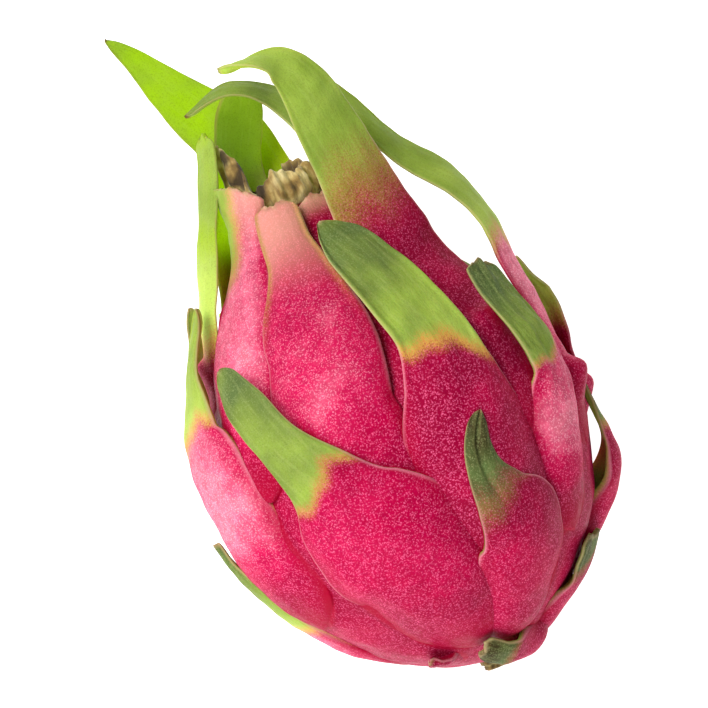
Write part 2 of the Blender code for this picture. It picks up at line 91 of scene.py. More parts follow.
# The finger of petal that stands out of the flower's rim: its angle, half width and how far it stretches.
FINGER_ANGLE = -62.0
FINGER_WIDTH = 21.0
FINGER_STRETCH = 1.55

# Points of the meshes: rings and sides of the turned pieces, and the fewest and most rows and columns of
# a scale.
BODY_RINGS = 221
BODY_SIDES = 360
FLOWER_SIDES = 180
STEM_SIDES = 96
ROWS_BETWEEN = (40, 150)
COLUMNS_BETWEEN = (24, 64)
# How uneven the body's skin is: (distance between hills, height, seed).
BODY_UNEVEN = ((21, 0.45, 3), (8, 0.15, 4))
# The body is drawn this far under its CAD surface, so that the feet of the scales run into it.
BODY_SINK = 0.3

# Millimetres between the patches and fibres of the materials, matched to the fruit.
SKIN_GRAIN = 1.923
BLOOM_PATCH = 11.11
BLOOM_DRIFT = 35.71
PETAL_PATCH = 3.846
PETAL_FIBRE = 0.7143
BARK_FIBRE = 1.111
# Pink by wax bloom and painted sheen, from bare deep red to pale.
PINK_BY_BLOOM_AND_SHEEN = ((0.0, "#8E0030"), (0.3, "#B2003E"), (0.55, "#C61650"), (0.78, "#E46484"), (1.0, "#F8C4BE"))
GREEN_BY_AGE = (
    (0.0, "#BEDD1E"), (0.2, "#B8CF5C"), (0.4, "#9DB648"), (0.6, "#7D9140"), (0.8, "#61743F"),
    (1.0, "#443C22"),
)
PETAL_COLOURS = ((0.25, "#4A3216"), (0.42, "#9C7C42"), (0.55, "#C9B074"), (0.75, "#DCCB96"))
BARK_COLOURS = ((0.3, "#4C4526"), (0.5, "#7C7040"), (0.7, "#A8975E"))

# Kinds of node that come up often, each with its settings.
NOISE = ("ShaderNodeTexNoise", None)
MIX = ("ShaderNodeMix", {"data_type": "RGBA"})
RANGE = ("ShaderNodeMapRange", {"interpolation_type": "SMOOTHSTEP"})
ADD = ("ShaderNodeMath", {"operation": "ADD"})
SUBTRACT = ("ShaderNodeMath", {"operation": "SUBTRACT"})
MULTIPLY = ("ShaderNodeMath", {"operation": "MULTIPLY"})
SMALLER = ("ShaderNodeMath", {"operation": "MINIMUM"})
LARGER = ("ShaderNodeMath", {"operation": "MAXIMUM"})

# The camera looks at this station of the axis, shifted by millimetres to its right and up, over this field
# of view in degrees.
VIEW_STATION = 57.0
VIEW_RIGHT = -8.04
VIEW_UP = 16.3
VIEW_FIELD = 13.8677
# Where each soft light stands from that station: metres to the camera's right, to its up and straight up.
KEY_PLACE = (-0.45, 0.2, 0.7)
FILL_PLACE = (-0.1, -0.65, 0.4)
KEY_SIZE = 0.5
FILL_SIZE = 0.7
TABLE_REACH = 3.0

# What a scale's entry may say beside its rows. "cup" bends the blade across its width, in degrees. "end" is
# a point, or a cut for a dried torn end. "green" is the stretch, as shares of the length, where pink turns
# green, and "tone" is how old the green is at its start and at the tip. "pale" gives a stretch and its
# strength, and the rest are strengths.
SCALE_DEFAULTS = {
    "air": (),
    "cup": 25,
    "end": "point",
    "green": (0.62, 0.76),
    "tone": (0.35, 0.8),
    "edge_green": 0.1,
    "left_green": 0.0,
    "slant": 0.0,
    "warm": 0.4,
    "pale": (0.9, 1.0, 0.0),
    "inner_red": 0.2,
    "left_edge": 0.0,
    # Bloom is the wax bloom together with painted sheen.
    "bloom": 0.4,
    "lip": 0.3,
    "wave": 0.25,
    "wrinkle": 0.1,
    "fold": 0.0,
    "serrate": 0.0,
    "thin": 0.2,
    "dry": 0.6,
}
# What the peel's material reads at each point of a mesh.
LOOKS = (
    "green", "tone", "bloom", "deep", "pale", "dry", "edge", "thin", "warm", "wrinkle", "across", "along",
    "crevice",
)

FRONT_SCALES = {
    "scale_front_low_right": {
        "skin": (
            (6, 18, 0.5, 6), (16, 28, 2.2, 10), (21, 40, 3.6, 12.5), (22, 51, 4.6, 12), (18, 60, 5.2, 7),
            (16, 66.5, 5.6, 4.3), (17, 72, 6, 3.2), (21, 77.5, 6.4, 1.8),
        ),
        "green": (0.6, 0.86), "tone": (0.7, 1.0), "warm": 0.0, "fold": 0.7, "bloom": 0.22, "lip": 0.15,
    },
    "scale_front_low_left": {
        "skin": (
            (-8, 22, 0.5, 9), (-12, 40, 3, 15), (-14, 52, 4.6, 18.5), (-18, 61, 5.4, 19.5),
            (-22, 70, 5.6, 15), (-25, 78, 6, 9), (-31, 87, 7.4, 5.8), (-38, 96, 8.6, 5),
            (-48, 105.5, 9, 2.4),
        ),
        "cup": 20, "green": (0.59, 0.67), "tone": (0.45, 0.74), "warm": 0.35, "bloom": 0.36, "lip": 0.35,
    },
    "scale_front_right": {
        "skin": (
            (23, 42, 0.5, 8), (21, 54, 3, 14.5), (19, 66, 4.4, 17), (18.5, 76, 5.2, 16),
            (20, 86, 6.4, 11.5), (20.5, 94, 8, 8.6), (18.5, 102, 10.6, 7.8), (16, 109.5, 13, 7.2),
            (12, 116.5, 15.4, 5.6), (7, 122.5, 17, 1.4),
        ),
        "cup": 20, "green": (0.54, 0.66), "slant": 0.05, "tone": (0.35, 0.75), "warm": 0.75, "bloom": 0.1,
        "lip": 0.7, "wrinkle": 0.18,
    },
    "scale_right_upper": {
        "skin": (
            (48, 42, 0.5, 7), (47, 56, 2.8, 10.5), (49, 67, 4.4, 9.2), (52, 76, 5.6, 7), (51, 82, 6.8, 6.2),
            (48, 89, 8, 5.3), (48, 96, 9, 5.2), (50, 101.5, 10, 4.6),
        ),
        "end": "cut", "green": (0.58, 0.66), "tone": (0.52, 0.8), "warm": 0.4, "bloom": 0.76,
        "wrinkle": 0.5, "lip": 0.3,
    },
    "scale_front_centre": {
        "skin": (
            (-10, 62, 0.5, 10), (-14, 76, 3, 15), (-17, 90, 4.4, 15.5), (-13, 104, 4.8, 14),
            (-12, 114, 5, 11.5), (-10, 125, 5.6, 7.6), (-12, 134, 6.4, 6.2), (-9, 142, 7, 5.4),
        ),
        "cup": 35, "end": "cut", "green": (1.02, 1.2), "pale": (0.7, 0.95, 0.6), "edge_green": 0.55,
        "bloom": 0.56, "lip": 0.6, "wrinkle": 0.04,
    },
    "scale_front_left": {
        "skin": (
            (-47, 78, 0.5, 9), (-50, 90, 2, 12), (-53, 102, 2.6, 13.5), (-59, 114, 3.2, 13.5),
            (-59, 125, 3.8, 11), (-55, 136, 4.4, 8.6), (-44, 144, 5.4, 7.2), (-35, 149, 6.4, 7),
        ),
        "cup": 35, "end": "cut", "green": (1.02, 1.2), "pale": (0.78, 1.0, 0.6), "tone": (0.3, 0.35),
        "left_green": 1.0, "bloom": 0.76, "wrinkle": 0.3,
    },
    "scale_front_inner": {
        "skin": ((22, 118, 0.5, 6), (26, 127, 1.5, 7), (30, 134, 2.8, 6), (32, 141, 4.6, 5.5)),
        "cup": 30, "end": "cut", "green": (1.02, 1.2), "pale": (0.75, 1.0, 0.7), "bloom": 0.3,
    },
}

SIDE_SCALES = {
    "scale_base_right": {
        "skin": ((66, 10, 1, 4), (48, 11.5, 2.6, 5), (25, 13.5, 4, 5), (5, 18, 4.6, 4.4), (-9, 26, 4.4, 3.2)),
        "cup": 30, "end": "cut", "green": (0.55, 0.8), "tone": (0.8, 1.0), "warm": 0.1, "bloom": 0.12,
    },
    "scale_base_left": {
        "skin": ((-36, 17, 0.5, 3.5), (-34, 22, 2, 4), (-33, 29, 3.8, 0.8)),
        "green": (1.1, 1.3), "inner_red": 1.0, "bloom": 0.1,
    },
    "scale_right_low": {
        "skin": ((64, 9, 0.5, 5), (65, 17, 1.6, 7), (66, 27, 2.4, 7.4), (67, 37.5, 2.6, 7.2)),
        "end": "cut", "green": (0.72, 0.95), "tone": (0.8, 0.9), "warm": 0.1, "bloom": 0.15,
        "left_green": 0.8,
    },
    "scale_left_low": {
        "skin": (
            (-98, 20, 0.5, 9), (-90, 33, 1.2, 9), (-83, 46, 1.6, 6.5), (-79, 60, 3.4, 4.4),
            (-78, 73, 5.6, 0.8),
        ),
        "cup": 30, "green": (0.45, 0.6), "tone": (0.3, 0.85), "warm": 0.6, "bloom": 0.8,
    },
    "scale_right_middle": {
        "skin": (
            (90, 28, 0.5, 7), (88, 40, 3.6, 8.5), (86, 50, 5.8, 7.4), (84, 58, 3.8, 5), (82, 64, 2.4, 3),
            (80, 70, 1.8, 0.8),
        ),
        "cup": 20, "green": (0.72, 0.85), "tone": (0.6, 0.9), "bloom": 0.3,
    },
    "scale_left_middle": {
        "skin": (
            (-66, 45, 0.5, 12), (-67, 60, 3, 16), (-69, 84, 5, 15), (-73, 94, 6, 10), (-77, 106, 7.5, 6.5),
            (-71, 121, 10, 0.8),
        ),
        "green": (0.6, 0.72), "tone": (0.25, 0.45), "warm": 0.5, "bloom": 0.84, "serrate": 0.5, "lip": 0.5,
    },
}

UNDER_SCALES = {
    "scale_base_under": {
        "skin": ((178, 14, 0.5, 8), (179, 25, 2, 11), (180, 36, 2.5, 8), (180, 46, 3, 1)),
        "green": (0.75, 0.9),
    },
    "scale_under_right_low": {
        "skin": ((130, 20, 0.5, 10), (130, 36, 3, 13), (128, 52, 4, 12), (124, 66, 5, 8), (120, 80, 7, 1)),
    },
    "scale_under_left_low": {
        "skin": (
            (-132, 16, 0.5, 10), (-130, 32, 3, 14), (-127, 50, 4, 14), (-122, 66, 5, 9), (-118, 82, 7, 1),
        ),
    },
    "scale_under_middle": {
        "skin": ((178, 78, 0.5, 9), (178, 89, 3, 11), (178, 100, 5, 8), (178, 113, 8, 1)),
    },
    "scale_under_right_upper": {
        "skin": ((122, 62, 0.5, 9), (122, 76, 3, 12), (122, 88, 4.5, 9), (122, 99, 5, 6), (122, 109, 5.4, 1)),
    },
    "scale_under_left_upper": {
        "skin": (
            (-124, 66, 0.5, 9), (-121, 80, 3, 12), (-118, 94, 5, 9), (-114, 106, 8, 5), (-110, 120, 11, 1),
        ),
    },
}

CROWN_SCALES = {
    "scale_crown_large": {
        "skin": ((46, 62, 0.5, 10), (46, 75, 2, 14), (44, 88, 3.2, 14)),
        "air": (
            (20, 86, 26, 12.5, 34), (17.5, 96, 26, 11, 22), (16.5, 106, 27.5, 9, 14),
            (15.7, 115, 31.5, 7.8, 10), (14.8, 124, 37, 7.1, 8), (14, 131, 42.5, 6, 8),
            (12.2, 137, 46, 4.8, 2, 15), (9, 141, 48.5, 4, -4, 45), (4, 143, 50, 3.4, -8, 80),
            (-1.5, 143.5, 49, 0.8, -8, 110),
        ),
        "cup": 30, "green": (0.45, 0.77), "slant": -0.03, "edge_green": 0.35, "tone": (0.4, 0.3),
        "warm": 0.2, "bloom": 0.1, "thin": 0.35,
    },
    "scale_crown_right": {
        "skin": ((66, 58, 0.5, 6), (68, 68, 2, 7)),
        "air": (
            (41.5, 67, 9, 6.5, 74), (40.3, 79, 12.5, 6.2, 72), (39.6, 90.5, 15, 5.8, 70),
            (35.5, 102, 17, 5.4, 62), (28, 112.5, 19, 4.6, 58), (22.5, 124, 21, 3.6, 52),
            (18.5, 133, 22, 0.8, 46),
        ),
        "green": (0.44, 0.56), "tone": (0.3, 0.4), "warm": 0.3, "bloom": 1.0, "inner_red": 1.0,
        "thin": 0.35,
    },
    "scale_crown_right_low": {
        "skin": ((100, 54, 0.5, 4), (100, 62, 2, 5.5)),
        "air": ((44.5, 61, -6, 6.4, 112), (44.3, 69, -8, 5.4, 116), (42.3, 78.5, -8, 0.8, 118)),
        "green": (0.55, 0.75), "tone": (0.4, 0.6), "thin": 0.35, "inner_red": 1.0,
    },
    "scale_crown_left": {
        "skin": ((-92, 96, 0.5, 6), (-91, 106, 2.5, 7)),
        "air": (
            (-28.3, 94.5, 3.5, 4.6, -68), (-24.5, 102.5, 3.5, 4.7, -66), (-18.8, 114.4, 4, 4.8, -64),
            (-13.8, 124.2, 4, 4.7, -62), (-10.8, 131, 4, 3.8, -60), (-9.9, 133.6, 4, 2.6, -60),
        ),
        "cup": 35, "end": "cut", "green": (0.2, 0.42), "tone": (0.12, 0.22), "inner_red": 1.0, "thin": 0.5,
        "dry": 0.1,
    },
    "scale_crown_left_inner": {
        "skin": ((-116, 106, 0.5, 5), (-118, 116, 2, 6)),
        "air": (
            (-18.5, 102, -9, 5, -128), (-13.5, 112.5, -8, 5, -136), (-10.6, 120, -7, 4.2, -140),
            (-9.6, 127, -6, 1.2, -140),
        ),
        "cup": 30, "green": (0.1, 0.25), "tone": (0.0, 0.05), "thin": 0.95,
    },
    "scale_crown_under_right": {
        "skin": ((146, 92, 0.5, 6), (146, 104, 3, 8)),
        "air": ((14, 97, -19, 7, 144), (14, 109, -19, 5.5, 142), (15, 122, -20, 0.8, 140)),
        "cup": 30, "thin": 0.4,
    },
    "scale_crown_under": {
        "skin": ((-168, 98, 0.5, 8), (-170, 110, 3, 10)),
        "air": (
            (-2, 106, -16, 9.5, -175), (-2.5, 120, -14.5, 9.2, -175), (-4, 130.5, -14, 8.6, -172),
            (-8, 138.5, -14.5, 7, -168), (-13, 149, -16, 4.6, -162), (-16, 156, -17, 3, -160),
            (-19.5, 162.7, -18, 0.8, -158),
        ),
        "cup": 30, "green": (0.15, 0.3), "tone": (0.0, 0.35), "thin": 0.9, "dry": 1.0,
    },
    "scale_crown_under_left": {
        "skin": ((-142, 92, 0.5, 6), (-141, 104, 3, 8)),
        "air": ((-17.5, 96, -18, 6.5, -142), (-17, 105, -18, 5, -142), (-16.5, 114, -18.5, 0.8, -142)),
        "cup": 30, "thin": 0.4,
    },
    "scale_crown_back": {
        "skin": ((-146, 122, 0.5, 5), (-146, 131, 1.5, 6)),
        "air": (
            (-6.5, 112, -10, 6, -30), (-6, 120, -9.5, 6, -28), (-4.2, 127, -6, 5.8, -25),
            (-1, 132.5, -3, 5.6, -20), (2, 137, 0, 4.4, -15), (3, 140.5, 2, 0.8, -15),
        ),
        "cup": 25, "green": (0.1, 0.3), "tone": (0.0, 0.3), "thin": 0.9, "left_edge": 0.9,
    },
    "scale_crown_curled": {
        "skin": ((72, 126, 0.5, 4), (70, 134, 2, 4.5)),
        "air": (
            (12.5, 116, 2.5, 4.6, 60, 0), (13, 125, 3, 4.3, 50, 10), (10.5, 132, 4, 3.9, 30, 35),
            (6.5, 137, 5.5, 3.5, 10, 50), (1.1, 140.2, 7, 3, -5, 60), (-5.2, 140.5, 6.3, 2.5, -10, 60),
            (-11.3, 139.4, 4, 0.8, -10, 50),
        ),
        "green": (0.1, 0.3), "tone": (0.45, 0.6), "thin": 0.4, "dry": 1.0,
    },
}


def catmull_rom(rows, steps):
    """Points of a smooth curve through the rows, with this many steps between two of them."""
    rows = np.array(rows, float)
    rows = np.vstack([2 * rows[0] - rows[1], rows, 2 * rows[-1] - rows[-2]])
    found = []
    for before, start, end, after in zip(rows, rows[1:], rows[2:], rows[3:]):
        for t in np.arange(steps) / steps:
            square = (2 * before - 5 * start + 4 * end - after) * t * t
            cube = (3 * start - before - 3 * end + after) * t**3
            found.append(0.5 * (2 * start + (end - before) * t + square + cube))
    return np.array(found + [rows[-2]])


def smoothstep(low, high, value):
    """0 below low and 1 above high, with a soft rise between them."""
    t = np.clip((np.asarray(value, float) - low) / (high - low), 0, 1)
    return t * t * (3 - 2 * t)


def mix(first, second, share):
    return first + (second - first) * share


def unit(vectors):
    return vectors / np.maximum(np.linalg.norm(vectors, axis=-1, keepdims=True), 1e-9)


def ripple(points, size, seed=0):
    """A smooth uneven field from about -1 to 1, whose hills are this many millimetres apart."""
    total = 0.0
    for wave in range(6):
        turn = 2.4 * (wave + 1) + 1.7 * seed
        lean = math.cos(1.9 * wave + 0.6 * seed)
        flat = math.sqrt(1 - lean * lean)
        direction = np.array([flat * math.cos(turn), flat * math.sin(turn), lean])
        pace = math.tau / size * (0.7 + 0.13 * wave)
        total = total + np.sin(points @ direction * pace + 1.3 * wave + seed)
    return total / 3.0


OUTLINE = catmull_rom(BODY_OUTLINE, OUTLINE_STEPS)
OUTLINE[:, 1] = np.maximum(OUTLINE[:, 1], 0)
OUTLINE_RUN = np.append(0, np.cumsum(np.linalg.norm(np.diff(OUTLINE, axis=0), axis=1)))
RUN_END = OUTLINE_RUN[-1]
OUTLINE_TANGENT = unit(np.gradient(OUTLINE, OUTLINE_RUN, axis=0))


def skin_point(angle, run, lift):
    """Position over the skin, which goes on along the axis past the flower end."""
    within = np.clip(run, 0, RUN_END)
    past = np.maximum(run - RUN_END, 0)
    station = np.interp(within, OUTLINE_RUN, OUTLINE[:, 0]) + past
    radius = np.interp(within, OUTLINE_RUN, OUTLINE[:, 1])
    along = np.interp(within, OUTLINE_RUN, OUTLINE_TANGENT[:, 0])
    outward = np.interp(within, OUTLINE_RUN, OUTLINE_TANGENT[:, 1])
    radians = np.radians(angle)
    radius = radius + lift * along
    station = station - lift * outward
    return np.stack([radius * np.sin(radians), station, radius * np.cos(radians)], -1)


def skin_normal(angle, run):
    flat = np.zeros(np.shape(run))
    return unit(skin_point(angle, run, flat + 1) - skin_point(angle, run, flat))


def fruit_to_world():
    """Where the fruit's own frame lies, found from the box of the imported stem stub."""
    tilt = Matrix.Rotation(math.radians(AXIS_PITCH), 4, "X")
    rings = ((STUB_END, STUB_CHAMFER_RADIUS), (STUB_RIM, STUB_RADIUS))
    ends = [tilt @ Vector((0, station, side * radius)) for station, radius in rings for side in (-1, 1)]
    low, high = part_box("stem_stub")
    x = (low[0] + high[0]) / 2
    y = low[1] - min(end.y for end in ends) * MM
    z = low[2] - min(end.z for end in ends) * MM
    return Matrix.Translation((x, y, z)) @ tilt @ Matrix.Scale(MM, 4)


TO_WORLD = np.array(fruit_to_world())


def world(points):
    """Millimetres in the fruit's own frame as metres in the scene."""
    return points @ TO_WORLD[:3, :3].T + TO_WORLD[:3, 3]


def pressed(points, height=0.0):
    """World points kept over the table, with a soft bend where the fruit rests on it."""
    points = points.copy()
    soft = 0.6 * MM
    over = points[..., 2] - height
    points[..., 2] = height + np.where(over > 4 * soft, over, soft * np.logaddexp(0, over / soft))
    return points


def grid_faces(rows, columns, offset=0, flip=False):
    """Quads of a grid of points, as rows of four indices."""
    index = np.arange(rows * columns).reshape(rows, columns) + offset
    quads = np.stack([index[:-1, :-1], index[:-1, 1:], index[1:, 1:], index[1:, :-1]], -1).reshape(-1, 4)
    return quads[:, ::-1] if flip else quads


def turned_faces(rings, sides, capped=True):
    """Faces of rings of points round an axis, with a flat cap at both ends."""
    index = np.arange(rings * sides).reshape(rings, sides)
    caps = [index[0, ::-1].tolist(), index[-1].tolist()] if capped else []
    index = np.concatenate([index, index[:, :1]], axis=1)
    quads = np.stack([index[:-1, :-1], index[1:, :-1], index[1:, 1:], index[:-1, 1:]], -1).reshape(-1, 4)
    return quads.tolist() + caps


def add_mesh(name, points, faces, material, attributes=None):
    """A smooth mesh object. Its attributes hold one number for each point."""
    mesh = bpy.data.meshes.new(name)
    mesh.from_pydata(points.reshape(-1, 3).tolist(), [], [list(face) for face in faces])
    mesh.validate()
    mesh.shade_smooth()
    for key, values in (attributes or {}).items():
        layer = mesh.attributes.new(key, "FLOAT", "POINT")
        layer.data.foreach_set("value", np.asarray(values, np.float32).ravel())
    mesh.materials.append(material)
    made = bpy.data.objects.new(name, mesh)
    bpy.context.scene.collection.objects.link(made)
    return made


def linear(code):
    """An sRGB hex colour as linear red, green, blue and alpha."""
    values = [int(code[i : i + 2], 16) / 255 for i in (1, 3, 5)]
    return (*[v / 12.92 if v <= 0.04045 else ((v + 0.055) / 1.055) ** 2.4 for v in values], 1.0)


def node(tree, kind, settings=None, *values, **links):
    """Adds a node. A setting names a property, or a ramp's stops. Values go to the sockets in use, in their
    order, and links to the sockets that they name. Each is a plain value, a socket, or a node that gives its
    first output.
    """
    made = tree.nodes.new(kind)
    for key, value in (settings or {}).items():
        if key != "stops":
            setattr(made, key, value)
            continue
        elements = made.color_ramp.elements
        while len(elements) < len(value):
            elements.new(0.5)
        for element, (position, code) in zip(elements, value):
            element.position = position
            element.color = linear(code)
    in_use = [socket for socket in made.inputs if socket.enabled]
    named = [(made.inputs[key.replace("_", " ")], value) for key, value in links.items()]
    for socket, value in [*zip(in_use, values), *named]:
        if isinstance(value, bpy.types.Node):
            value = next(output for output in value.outputs if output.enabled)
        if isinstance(value, bpy.types.NodeSocket):
            tree.links.new(value, socket)
        else:
            socket.default_value = value
    return made


def empty_material(name):
    """A material with no nodes yet, and the function that adds one to it."""
    material = bpy.data.materials.new(name)
    material.use_nodes = True
    material.node_tree.nodes.clear()
    return material, functools.partial(node, material.node_tree)


def waxy_peel(settings):
    """Living peel with a thin wax bloom: satin, a little light goes in, with fine pale freckles in the pink.

    The same material covers the body and the scales. The meshes say where it is green, dry, dusty with wax
    bloom and painted sheen, or deep red, which is in part painted shade, and how far each point lies along
    and across its scale, which the leaf veins follow.
    """
    known = bpy.data.materials.get("waxy_peel")
    if known:
        return known
    material, add = empty_material("waxy_peel")
    place = add("ShaderNodeTexCoord").outputs["Object"]
    told = {key: add("ShaderNodeAttribute", {"attribute_name": key}).outputs["Fac"] for key in LOOKS}
    freckle_rate = 1 / (settings.freckle_spacing * MM)
    fine = add(*NOISE, Vector=place, Scale=freckle_rate * 1.3, Detail=2.0)
    middle = add(*NOISE, Vector=place, Scale=1 / (SKIN_GRAIN * MM), Detail=3.0)
    broad = add(*NOISE, Vector=place, Scale=1 / (BLOOM_PATCH * MM), Detail=3.0)
    wide = add(*NOISE, Vector=place, Scale=1 / (BLOOM_DRIFT * MM), Detail=2.0)

    # Freckles are short pale dashes: each cell's middle, pulled out of round by a little noise.
    pull = add(*NOISE, Vector=place, Scale=freckle_rate * 0.9, Detail=1.0).outputs["Color"]
    pulled = add("ShaderNodeMix", {"data_type": "VECTOR"}, 0.0006, place, pull)
    cells = add("ShaderNodeTexVoronoi", Vector=pulled, Scale=freckle_rate)
    dashes = add(*RANGE, cells.outputs["Distance"], 0.52, 0.27)
    chance = add("ShaderNodeSeparateColor", Color=cells.outputs["Color"])
    chance = add(*RANGE, chance, 0.0, 0.8, 0.35, 1.0)
    dashes = add(*MULTIPLY, dashes, chance)

    # The bloom, with painted sheen in it, drifts over the peel in soft patches, and a crevice loses it as
    # painted shade.
    patches = add(*RANGE, broad, 0.3, 0.7, -0.1, 0.1)
    drift = add(*RANGE, wide, 0.3, 0.7, -0.08, 0.08)
    bloom = add(*ADD, add(*ADD, told["bloom"], patches), drift)
    bloom = add(*SUBTRACT, bloom, add(*MULTIPLY, told["crevice"], 0.5))
    bloom = add(*SMALLER, bloom, 0.8)

    pink = add("ShaderNodeValToRGB", {"stops": PINK_BY_BLOOM_AND_SHEEN}, Fac=bloom)
    grain = add(*RANGE, middle, 0.36, 0.64, 0.0, 0.3)
    pink = add(*MIX, grain, pink, linear("#8C0430"))
    freckle_bloom_and_sheen = add(*RANGE, bloom, 0.35, 0.85)
    freckle = add(*MIX, freckle_bloom_and_sheen, linear("#FF6EA0"), linear("#FFC0CC"))
    pink = add(*MIX, add(*MULTIPLY, dashes, 0.5), pink, freckle)
    # Painted shade: the pink turns deep red in crevices and at the feet and margins of the scales; on a
    # scale's inner side the deep red is its own colour.
    occlusion_shade = add(*RANGE, told["crevice"], 0.2, 0.8, 0.0, 0.8)
    pink = add(*MIX, add(*LARGER, told["deep"], occlusion_shade), pink, linear("#A0002A"))
    pink = add(*MIX, told["pale"], pink, linear("#EBB49A"))

    leaf = add("ShaderNodeValToRGB", {"stops": GREEN_BY_AGE}, Fac=add(*ADD, told["tone"], patches))
    across = add(*MULTIPLY, told["across"], 1.2)
    along = add(*MULTIPLY, told["along"], 0.1)
    lengthwise = add("ShaderNodeCombineXYZ", X=across, Y=along, Z=told["tone"])
    veins = add(*NOISE, Vector=lengthwise, Scale=1.0, Detail=3.0)
    veins = add(*RANGE, veins, 0.48, 0.68, 0.0, 0.1)
    leaf = add(*MIX, veins, leaf, linear("#D6E08A"))
    speckle = add(*RANGE, told["tone"], 0.3, 0.9, 0.06, 0.3)
    leaf = add(*MIX, add(*MULTIPLY, dashes, speckle), leaf, linear("#B4BE7C"))
    stipple = add(*RANGE, fine, 0.52, 0.3, 0.0, 0.2)
    leaf = add(*MIX, stipple, leaf, linear("#3F4F24"))

    # Pink turns to green in a scatter of dots, over a warm band.
    scatter = add(*RANGE, fine, 0.3, 0.7, -0.15, 0.15)
    turning = add(*MULTIPLY, told["green"], add(*SUBTRACT, 1.0, told["green"]))
    scatter = add(*MULTIPLY, scatter, add(*MULTIPLY, turning, 4.0))
    turn = add(*ADD, told["green"], scatter)
    between = add(*MIX, 0.5, pink, leaf)
    between = add(*MIX, told["warm"], between, linear("#DFA24C"))
    colour = add(*MIX, add(*RANGE, turn, 0.02, 0.5), pink, between)
    colour = add(*MIX, add(*RANGE, turn, 0.4, 0.95), colour, leaf)
    margin = add(*MIX, told["green"], linear("#E88CA0"), linear("#C9C083"))
    colour = add(*MIX, told["edge"], colour, margin)
    crust = add(*RANGE, middle, 0.35, 0.65)
    crust = add(*MIX, crust, linear("#7A5A34"), linear("#D2BC8C"))
    colour = add(*MIX, told["dry"], colour, crust)

    across = add(*MULTIPLY, told["across"], 0.75)
    along = add(*MULTIPLY, told["along"], 0.22)
    puckers = add("ShaderNodeCombineXYZ", X=across, Y=along, Z=told["warm"])
    puckers = add(*NOISE, Vector=puckers, Scale=1.0, Detail=4.0)
    bump = add("ShaderNodeBump", Strength=0.3, Distance=0.1 * MM, Height=fine)
    bump = add("ShaderNodeBump", Strength=0.35, Distance=0.3 * MM, Height=middle, Normal=bump)
    bump = add("ShaderNodeBump", Strength=told["wrinkle"], Distance=1.4 * MM, Height=puckers, Normal=bump)
    skin = add(
        "ShaderNodeBsdfPrincipled",
        Base_Color=colour,
        Roughness=add(*RANGE, middle, 0.3, 0.7, 0.44, 0.58),
        IOR=1.4,
        Specular_IOR_Level=0.07,
        Subsurface_Weight=0.12,
        Subsurface_Radius=(1.0, 0.25, 0.2),
        Subsurface_Scale=2 * MM,
        Normal=bump,
    )
    glow = add("ShaderNodeBsdfTranslucent", Color=colour, Normal=bump)
    both = add("ShaderNodeMixShader", None, told["thin"], skin, glow)
    add("ShaderNodeOutputMaterial", Surface=both)
    return material


def dried_petals():
    """Petals dried on the plant: papery, matte, khaki with burnt brown patches, and painted shade that
    darkens the cup from its torn rim down the inner wall.
    """
    material, add = empty_material("dried_petals")
    place = add("ShaderNodeTexCoord").outputs["Object"]
    deep = add("ShaderNodeAttribute", {"attribute_name": "deep"}).outputs["Fac"]
    patches = add(*NOISE, Vector=place, Scale=1 / (PETAL_PATCH * MM), Detail=4.0)
    pulled = add("ShaderNodeMapping", Vector=place, Scale=(1.0, 0.2, 1.0))
    fibres = add(*NOISE, Vector=pulled, Scale=1 / (PETAL_FIBRE * MM), Detail=3.0)
    colour = add("ShaderNodeValToRGB", {"stops": PETAL_COLOURS}, Fac=patches)
    dark_fibres = add(*RANGE, fibres, 0.4, 0.7, 0.0, 0.4)
    colour = add(*MIX, dark_fibres, colour, linear("#7A6236"))
    colour = add(*MIX, deep, colour, linear("#2A1A0C"))
    bump = add("ShaderNodeBump", Strength=0.8, Distance=0.3 * MM, Height=fibres)
    shader = add("ShaderNodeBsdfPrincipled", Base_Color=colour, Roughness=0.85, Sheen_Weight=0.2, Normal=bump)
    add("ShaderNodeOutputMaterial", Surface=shader)
    return material


def cut_stem():
    """Cut cactus stem that dried: grey-brown bark with a fibrous pale end."""
    material, add = empty_material("cut_stem")
    place = add("ShaderNodeTexCoord").outputs["Object"]
    pulled = add("ShaderNodeMapping", Vector=place, Scale=(1.0, 0.25, 1.0))
    bark = add(*NOISE, Vector=pulled, Scale=1 / (BARK_FIBRE * MM), Detail=4.0)
    colour = add("ShaderNodeValToRGB", {"stops": BARK_COLOURS}, Fac=bark)
    bump = add("ShaderNodeBump", Strength=0.7, Distance=0.3 * MM, Height=bark)
    shader = add("ShaderNodeBsdfPrincipled", Base_Color=colour, Roughness=0.85, Normal=bump)
    add("ShaderNodeOutputMaterial", Surface=shader)
    return material


